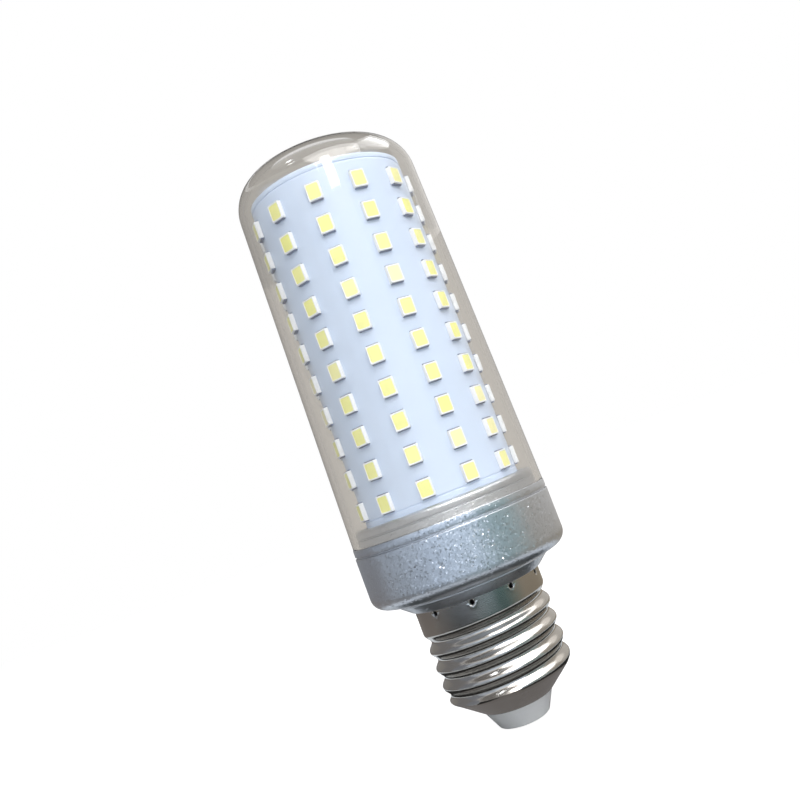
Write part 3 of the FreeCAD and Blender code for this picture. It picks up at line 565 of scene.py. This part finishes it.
marks, marks_in, marks_out = new_group(
    "handling_marks", [("Base", "Float", 0.2), ("Amount", "Float", 0.1), ("Scale", "Float", 150.0)],
    [("Roughness", "Float"), ("Scratch", "Float")])
place = add_node(marks, "ShaderNodeTexCoord")
smudge = add_node(marks, "ShaderNodeTexNoise", detail=5.0, roughness=0.65)
marks.links.new(place.outputs["Object"], smudge.inputs["Vector"])
marks.links.new(marks_in.outputs["Scale"], smudge.inputs["Scale"])
grow = add_node(marks, "ShaderNodeMath", operation="MULTIPLY_ADD")
marks.links.new(smudge.outputs["Fac"], grow.inputs[0])
marks.links.new(marks_in.outputs["Amount"], grow.inputs[1])
marks.links.new(marks_in.outputs["Base"], grow.inputs[2])
marks.links.new(grow.outputs[0], marks_out.inputs["Roughness"])
stretch = add_node(marks, "ShaderNodeMapping")
stretch.inputs["Scale"].default_value = (900, 900, 9000)
marks.links.new(place.outputs["Object"], stretch.inputs["Vector"])
line = add_node(marks, "ShaderNodeTexNoise", scale=1.0, detail=2.0)
marks.links.new(stretch.outputs["Vector"], line.inputs["Vector"])
marks.links.new(line.outputs["Fac"], marks_out.inputs["Scratch"])

flakes, flakes_in, flakes_out = new_group(
    "paint_flakes", [("Scale", "Float", 4500.0), ("Tilt", "Float", 0.5)], [("Normal", "Vector")])
place = add_node(flakes, "ShaderNodeTexCoord")
cells = add_node(flakes, "ShaderNodeTexVoronoi")
flakes.links.new(place.outputs["Object"], cells.inputs["Vector"])
flakes.links.new(flakes_in.outputs["Scale"], cells.inputs["Scale"])
lean = add_node(flakes, "ShaderNodeVectorMath", operation="SUBTRACT")
flakes.links.new(cells.outputs["Color"], lean.inputs[0])
lean.inputs[1].default_value = (0.5, 0.5, 0.5)
size = add_node(flakes, "ShaderNodeVectorMath", operation="LENGTH")
flakes.links.new(lean.outputs["Vector"], size.inputs[0])
rare = add_node(flakes, "ShaderNodeMath", operation="POWER")
flakes.links.new(size.outputs["Value"], rare.inputs[0])
rare.inputs[1].default_value = 4.0
share = add_node(flakes, "ShaderNodeMath", operation="MULTIPLY")
flakes.links.new(rare.outputs[0], share.inputs[0])
flakes.links.new(flakes_in.outputs["Tilt"], share.inputs[1])
much = add_node(flakes, "ShaderNodeVectorMath", operation="SCALE")
flakes.links.new(lean.outputs["Vector"], much.inputs[0])
flakes.links.new(share.outputs[0], much.inputs["Scale"])
level = add_node(flakes, "ShaderNodeNewGeometry")
tilted = add_node(flakes, "ShaderNodeVectorMath", operation="ADD")
flakes.links.new(level.outputs["Normal"], tilted.inputs[0])
flakes.links.new(much.outputs["Vector"], tilted.inputs[1])
unit = add_node(flakes, "ShaderNodeVectorMath", operation="NORMALIZE")
flakes.links.new(tilted.outputs["Vector"], unit.inputs[0])
flakes.links.new(unit.outputs["Vector"], flakes_out.inputs["Normal"])
print("node groups:", [group.name for group in bpy.data.node_groups])

# %% Material tools
def new_finish(name, **values):
    """A material with one Principled shader, whose plain values are set on its own sockets."""
    finish = bpy.data.materials.new(name)
    finish.use_nodes = True
    shader = finish.node_tree.nodes["Principled BSDF"]
    for label, value in values.items():
        shader.inputs[label.replace("_", " ").title().replace("Ior", "IOR")].default_value = value
    return finish, finish.node_tree, shader


def bump_from(tree, shader, height, distance, strength=1.0):
    """Let a height, in metres times distance, tilt the shader's normal."""
    bump = add_node(tree, "ShaderNodeBump", distance=distance, strength=strength)
    tree.links.new(height, bump.inputs["Height"])
    tree.links.new(bump.outputs["Normal"], shader.inputs["Normal"])
    return bump


def dress(finish, *pieces):
    for piece in pieces:
        piece.data.materials.clear()
        piece.data.materials.append(finish)

# %% [markdown]
# ## Clear plastic
# The cover is clear but not colourless: where the eye looks along the wall it turns grey and warm.
# Absorption inside the wall does that by itself, because a slanting ray meets more plastic. Shadow
# rays pass freely, or the lamps could not light the board.

# %% Cover finish
clear_finish, tree, shader = new_finish(
    "clear_plastic", base_color=(0.985, 0.985, 0.98, 1), transmission_weight=1.0, ior=1.47)
rub = place_group(tree, marks, base=0.0, amount=0.04, scale=90.0)
tree.links.new(rub.outputs["Roughness"], shader.inputs["Roughness"])
output = tree.nodes["Material Output"]
soak = add_node(tree, "ShaderNodeVolumeAbsorption", color=(0.50, 0.47, 0.43, 1), density=150.0)
tree.links.new(soak.outputs["Volume"], output.inputs["Volume"])
path = add_node(tree, "ShaderNodeLightPath")
clear = add_node(tree, "ShaderNodeBsdfTransparent")
choose = add_node(tree, "ShaderNodeMixShader")
tree.links.new(path.outputs["Is Shadow Ray"], choose.inputs["Fac"])
tree.links.new(shader.outputs["BSDF"], choose.inputs[1])
tree.links.new(clear.outputs["BSDF"], choose.inputs[2])
tree.links.new(choose.outputs["Shader"], output.inputs["Surface"])
dress(clear_finish, cover_moulding)

# %% [markdown]
# ## Metals
# The collar has a satin silver paint with flakes that sparkle in the highlight. The cap is plated
# with nickel: warmer, glossier, and faintly streaked round the axis by the rolling that made it.
# Little light gets into its punch marks, so shade is painted into them: their depth darkens the plating's
# colour to near black.

# %% Collar finish
collar_finish, tree, shader = new_finish(
    "silver_collar", metallic=1.0, coat_weight=0.15, coat_roughness=0.2)
tone = place_group(tree, drift, light=(0.66, 0.68, 0.71, 1), dark=(0.58, 0.60, 0.64, 1), scale=80.0)
tree.links.new(tone.outputs["Color"], shader.inputs["Base Color"])
rub = place_group(tree, marks, base=0.28, amount=0.12, scale=200.0)
tree.links.new(rub.outputs["Roughness"], shader.inputs["Roughness"])
glint = place_group(tree, flakes, scale=4000.0, tilt=1.6)
tree.links.new(glint.outputs["Normal"], shader.inputs["Normal"])
dress(collar_finish, silver_collar)

# %% Nickel finish
nickel_finish, tree, shader = new_finish("nickel_plate", metallic=1.0)
tone = place_group(tree, drift, light=(0.58, 0.555, 0.52, 1), dark=(0.48, 0.455, 0.42, 1), scale=160.0)
# Painted shade: the punch marks' depth darkens the nickel's colour to near black, where little light would
# reach.
painted_pit_shade = add_node(tree, "ShaderNodeAttribute", attribute_name="pit")
shade = add_node(tree, "ShaderNodeMix", data_type="RGBA")
tree.links.new(painted_pit_shade.outputs["Fac"], shade.inputs["Factor"])
tree.links.new(tone.outputs["Color"], shade.inputs["A"])
shade.inputs["B"].default_value = (0.004, 0.004, 0.004, 1)
tree.links.new(shade.outputs["Result"], shader.inputs["Base Color"])
rub = place_group(tree, marks, base=0.14, amount=0.08, scale=260.0)
tree.links.new(rub.outputs["Roughness"], shader.inputs["Roughness"])
bump_from(tree, shader, rub.outputs["Scratch"], 0.000005)
dress(nickel_finish, threaded_shell, centre_nail)

# %% [markdown]
# ## Board and LEDs
# The board's white mask is glossy and slightly blue. The LED frames are matt white, the phosphor is
# a pale yellow that differs a little from LED to LED, and the terminals are dull tin painted dark
# blue-grey, so that they also give each LED a painted shadow line at its ends.

# %% Board finish
board_finish, tree, shader = new_finish(
    "white_mask", coat_weight=0.15, coat_roughness=0.08, specular_ior_level=0.3)
tone = place_group(tree, drift, light=(0.67, 0.775, 0.95, 1), dark=(0.62, 0.725, 0.91, 1), scale=70.0)
tree.links.new(tone.outputs["Color"], shader.inputs["Base Color"])
rub = place_group(tree, marks, base=0.25, amount=0.12, scale=300.0)
tree.links.new(rub.outputs["Roughness"], shader.inputs["Roughness"])
skin = place_group(tree, grain, scale=1500.0, contrast=1.0)
bump_from(tree, shader, skin.outputs["Height"], 0.00001)
dress(board_finish, rolled_board, end_plate)

# %% LED finishes
frame_finish, tree, shader = new_finish("led_white", roughness=0.45)
tone = place_group(tree, drift, light=(0.96, 0.97, 0.98, 1), dark=(0.92, 0.94, 0.97, 1), scale=400.0)
tree.links.new(tone.outputs["Color"], shader.inputs["Base Color"])
skin = place_group(tree, grain, scale=5000.0, contrast=1.0)
bump_from(tree, shader, skin.outputs["Height"], 0.000008)
dress(frame_finish, led_frames)

fill_finish, tree, shader = new_finish(
    "led_phosphor", roughness=0.35, coat_weight=0.3, coat_roughness=0.15)
pour = add_node(tree, "ShaderNodeAttribute", attribute_name="pour")
ramp = add_node(tree, "ShaderNodeValToRGB")
ramp.color_ramp.elements[0].color = (0.95, 0.95, 0.33, 1)
ramp.color_ramp.elements[1].color = (0.99, 0.94, 0.62, 1)
ramp.color_ramp.elements.new(0.75).color = (0.97, 0.96, 0.40, 1)
tree.links.new(pour.outputs["Fac"], ramp.inputs["Fac"])
tree.links.new(ramp.outputs["Color"], shader.inputs["Base Color"])
skin = place_group(tree, grain, scale=9000.0, contrast=1.0)
bump_from(tree, shader, skin.outputs["Height"], 0.00001)
dress(fill_finish, led_fills)

# Painted shadow: the tin terminals are coloured dark blue-grey, standing in for the shadow line at each
# LED's ends.
tab_shadow_finish, tree, shader = new_finish("led_terminal", metallic=0.3)
tone = place_group(tree, drift, light=(0.26, 0.30, 0.40, 1), dark=(0.18, 0.21, 0.30, 1), scale=900.0)
tree.links.new(tone.outputs["Color"], shader.inputs["Base Color"])
rub = place_group(tree, marks, base=0.3, amount=0.2, scale=900.0)
tree.links.new(rub.outputs["Roughness"], shader.inputs["Roughness"])
dress(tab_shadow_finish, led_tabs)

# %% Insulator finish
pale_finish, tree, shader = new_finish("pale_plastic", roughness=0.42)
tone = place_group(tree, drift, light=(0.70, 0.71, 0.72, 1), dark=(0.63, 0.64, 0.65, 1), scale=300.0)
tree.links.new(tone.outputs["Color"], shader.inputs["Base Color"])
skin = place_group(tree, grain, scale=3500.0, contrast=1.0)
bump_from(tree, shader, skin.outputs["Height"], 0.00002)
dress(pale_finish, foot_plug)

# %% [markdown]
# ## The driver inside
# The driver's card and parts are hidden in the cap and the collar, and their CAD solids have the
# right shape already, so they keep it and only get a finish.

# %% Driver finishes
def inner_finish(name, light, dark, scale, roughness, metallic, *nodes):
    """A finish of two close tones with a fine grain, for pieces that keep their CAD shape."""
    finish, tree, shader = new_finish(name, metallic=metallic, roughness=roughness)
    tone = place_group(tree, drift, light=light, dark=dark, scale=scale)
    tree.links.new(tone.outputs["Color"], shader.inputs["Base Color"])
    skin = place_group(tree, grain, scale=3000.0, contrast=1.0)
    bump_from(tree, shader, skin.outputs["Height"], 0.00002)
    for node in nodes:
        dress(finish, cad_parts[node])


inner_finish("green_card", (0.03, 0.20, 0.07, 1), (0.02, 0.14, 0.05, 1), 200, 0.35, 0.0, "driver_card")
inner_finish("black_case", (0.03, 0.03, 0.03, 1), (0.015, 0.015, 0.015, 1), 500, 0.5, 0.0,
             "bridge_rectifier", "driver_chip")
inner_finish("resistor_chip", (0.05, 0.05, 0.05, 1), (0.02, 0.02, 0.02, 1), 800, 0.4, 0.0,
             "sense_resistors")
inner_finish("capacitor_sleeve", (0.02, 0.03, 0.06, 1), (0.01, 0.015, 0.03, 1), 300, 0.3, 0.0,
             "bulk_capacitor")
inner_finish("fuse_body", (0.25, 0.32, 0.26, 1), (0.20, 0.26, 0.21, 1), 400, 0.5, 0.0, "fuse_resistor")
inner_finish("red_wire", (0.50, 0.03, 0.03, 1), (0.40, 0.02, 0.02, 1), 300, 0.4, 0.0,
             "led_positive_lead")
inner_finish("white_wire", (0.80, 0.80, 0.78, 1), (0.72, 0.72, 0.70, 1), 300, 0.4, 0.0,
             "live_wire", "neutral_wire")
inner_finish("black_wire", (0.03, 0.03, 0.03, 1), (0.02, 0.02, 0.02, 1), 300, 0.4, 0.0,
             "led_negative_lead")
inner_finish("solder", (0.62, 0.62, 0.63, 1), (0.50, 0.50, 0.51, 1), 900, 0.3, 1.0, "solder_joints")
print("finishes:", len(bpy.data.materials))

# %% [markdown]
# ## Floor and background
# The photograph's background is pure white. The world and the floor show white to the camera, to
# reflections and through the cover, and light the lamp only softly. The floor keeps a faint shadow,
# because part of its brightness is real light.

# %% World
def seen_by_eye(tree):
    """A mask that is 1 for what the camera sees straight, mirrored or through the cover, and 0 for light."""
    path = add_node(tree, "ShaderNodeLightPath")
    bent = add_node(tree, "ShaderNodeMath", operation="MAXIMUM")
    tree.links.new(path.outputs["Is Glossy Ray"], bent.inputs[0])
    tree.links.new(path.outputs["Is Transmission Ray"], bent.inputs[1])
    seen = add_node(tree, "ShaderNodeMath", operation="MAXIMUM")
    tree.links.new(path.outputs["Is Camera Ray"], seen.inputs[0])
    tree.links.new(bent.outputs[0], seen.inputs[1])
    return seen.outputs[0]


scene = bpy.context.scene
scene.view_settings.view_transform = "Standard"
world = bpy.data.worlds.new("studio")
scene.world = world
world.use_nodes = True
tree = world.node_tree
backdrop = tree.nodes["Background"]
level = add_node(tree, "ShaderNodeMapRange", to_min=0.08, to_max=1.0)
tree.links.new(seen_by_eye(tree), level.inputs["Value"])
tree.links.new(level.outputs["Result"], backdrop.inputs["Strength"])
backdrop.inputs["Color"].default_value = (1, 1, 1, 1)
print("world:", world.name)

# %% Floor
let_go()
bpy.ops.mesh.primitive_plane_add(size=4.0, location=(0, 0, -0.0002))
floor = bpy.context.object
floor.name = "floor"
floor_finish, tree, shader = new_finish("floor_white", base_color=(0.45, 0.45, 0.45, 1), roughness=0.9)
shaded = add_node(tree, "ShaderNodeBsdfDiffuse", color=(0.3, 0.3, 0.3, 1))
glow = add_node(tree, "ShaderNodeEmission", strength=0.97)
both = add_node(tree, "ShaderNodeAddShader")
tree.links.new(shaded.outputs["BSDF"], both.inputs[0])
tree.links.new(glow.outputs["Emission"], both.inputs[1])
choose = add_node(tree, "ShaderNodeMixShader")
tree.links.new(seen_by_eye(tree), choose.inputs["Fac"])
tree.links.new(shader.outputs["BSDF"], choose.inputs[1])
tree.links.new(both.outputs["Shader"], choose.inputs[2])
side = add_node(tree, "ShaderNodeNewGeometry")
under = add_node(tree, "ShaderNodeMixShader")
clear = add_node(tree, "ShaderNodeBsdfTransparent")
tree.links.new(side.outputs["Backfacing"], under.inputs["Fac"])
tree.links.new(choose.outputs["Shader"], under.inputs[1])
tree.links.new(clear.outputs["BSDF"], under.inputs[2])
tree.links.new(under.outputs["Shader"], tree.nodes["Material Output"].inputs["Surface"])
dress(floor_finish, floor)
print("floor:", floor.name)

# %% [markdown]
# ## Lamps and cards
# The key, a large soft box, stands high in front and to the right, where the photograph's highlights
# lie on the thread. A small box beside it puts the highlight on the dome, one low in front lights
# the board's middle, one fills the right side, and a spark makes the glint at the upper left.
# Metal shows what stands round it, so a studio puts cards there: curved boards as walls, and level
# ones on the floor and overhead, in plain colours, which only reflections see. One quiet backing all
# round shows through the cover alone, and gives it the grey of the room.

# %% Lamps
MIDDLE = Vector((0, 0, 0.06))
FACING = math.atan2(camera.location.y, camera.location.x)


def soft_lamp(name, azimuth, elevation, distance, width, height, power, color):
    """A soft box that faces the lamp, placed by its angle from the camera and its height."""
    turn, rise = FACING + math.radians(azimuth), math.radians(elevation)
    way = Vector((math.cos(turn) * math.cos(rise), math.sin(turn) * math.cos(rise), math.sin(rise)))
    bpy.ops.object.light_add(type="AREA", location=MIDDLE + way * distance)
    lamp = bpy.context.object
    lamp.name = name
    lamp.rotation_euler = way.to_track_quat("Z", "Y").to_euler()
    lamp.data.shape = "RECTANGLE"
    lamp.data.size, lamp.data.size_y = width, height
    lamp.data.energy = power
    lamp.data.color = color
    return lamp


soft_lamp("key_lamp", 28, 46, 0.9, 0.90, 0.50, 7.9, (1.0, 0.99, 0.98))
soft_lamp("dome_lamp", 13, 33, 0.9, 0.17, 0.22, 1.1, (1.0, 0.99, 0.98))
soft_lamp("front_lamp", -4, 4, 0.9, 0.60, 0.16, 1.8, (0.86, 0.94, 1.0))
soft_lamp("side_lamp", 100, 44, 0.9, 0.90, 0.45, 3.0, (0.97, 0.98, 1.0))
soft_lamp("spark_lamp", -45, 62, 0.9, 0.08, 0.08, 0.4, (0.92, 0.96, 1.0))

# %% Cards
def hide_card(card, name, color, mirrored):
    """Give a card its plain colour, and show it only in reflections or only through the cover."""
    finish, tree, shader = new_finish(name)
    glow = add_node(tree, "ShaderNodeEmission", color=(*color, 1))
    tree.links.new(glow.outputs["Emission"], tree.nodes["Material Output"].inputs["Surface"])
    dress(finish, card)
    card.visible_camera = card.visible_diffuse = False
    card.visible_shadow = card.visible_volume_scatter = False
    card.visible_glossy, card.visible_transmission = mirrored, not mirrored


def curved_card(name, start, stop, low, high, color, mirrored=True, reach=750):
    """A board bent round the lamp, between two angles from the camera and two heights in millimetres."""
    section = [(reach, low), (reach + 2, low), (reach + 2, high), (reach, high)]
    card = turned(name, section, 36, stop - start, math.degrees(FACING) + stop)
    hide_card(card, name, color, mirrored)


def flat_card(name, start, stop, inner, outer, color, mirrored=True, height=0):
    """A level board, on the floor or overhead, between two angles from the camera and two distances."""
    section = [(inner, height - 0.1), (outer, height - 0.1), (outer, height), (inner, height)]
    card = turned(name, section, 36, stop - start, math.degrees(FACING) + stop)
    hide_card(card, name, color, mirrored)


def fading_cards(name, inner, outer, *stops):
    """Level boards side by side, whose colours fade from one (angle, colour) stop to the next."""
    for (start, first), (stop, last) in zip(stops, stops[1:]):
        count = 1 if first == last else 8
        for part in range(count):
            share = (part + 0.5) / count
            color = [here + (there - here) * share for here, there in zip(first, last)]
            sides = [start + (stop - start) * edge / count for edge in (part, part + 1)]
            flat_card(f"{round(sides[0]) % 360}_{name}", *sides, inner, outer, color)


curved_card("grey_wall_card", -132, -100, 0, 700, (0.25, 0.25, 0.26))
curved_card("dark_wall_card", -100, -68, 0, 700, (0.26, 0.28, 0.32))
curved_card("blue_wall_card", -68, -36, 0, 600, (0.56, 0.63, 0.74))
curved_card("front_wall_card", -36, 25, 0, 400, (0.80, 0.95, 1.15))
curved_card("teal_wall_card", 25, 70, 0, 500, (0.36, 0.46, 0.47))
curved_card("beige_wall_card", 70, 105, 0, 700, (0.48, 0.45, 0.41))
curved_card("pale_wall_card", 105, 160, 0, 320, (0.66, 0.64, 0.61))
curved_card("pale_high_card", 105, 160, 320, 700, (1.15, 1.12, 1.08))
curved_card("rear_wall_card", 160, 228, 0, 700, (0.30, 0.29, 0.28))
QUIET = (0.66, 0.63, 0.59)
curved_card("backing_card", -180, 180, 0, 330, QUIET, mirrored=False, reach=760)
curved_card("high_backing_card", -180, 180, 330, 1500, (0.52, 0.50, 0.47), mirrored=False, reach=760)
flat_card("floor_backing_card", -180, 180, 0, 760, QUIET, mirrored=False)
flat_card("grey_far_card", -180, -97, 340, 750, (0.25, 0.27, 0.31))
flat_card("blue_far_card", -97, -45, 340, 750, (1.10, 1.30, 1.50))
flat_card("front_far_card", -45, 25, 340, 750, (0.95, 1.17, 1.48))
flat_card("teal_far_card", 25, 75, 340, 750, (0.46, 0.80, 0.87))
flat_card("beige_far_card", 75, 180, 340, 750, (0.56, 0.54, 0.51))
flat_card("foot_card", -180, 180, 0, 18, (0.22, 0.21, 0.21))
flat_card("dark_foot_card", -180, 180, 18, 44, (0.03, 0.03, 0.03))
flat_card("round_foot_card", -180, 180, 44, 70, (0.80, 0.86, 0.92))
GREY, DARK, TEAL, BEIGE = (0.23, 0.21, 0.20), (0.04, 0.04, 0.04), (0.06, 0.11, 0.11), (0.34, 0.30, 0.24)
fading_cards("near_card", 70, 340, (-180, GREY), (-100, GREY), (-50, DARK), (-25, DARK), (10, TEAL),
             (40, TEAL), (80, BEIGE), (180, BEIGE))
flat_card("ceiling_card", -180, 180, 0, 1100, (0.20, 0.19, 0.185), height=1100)
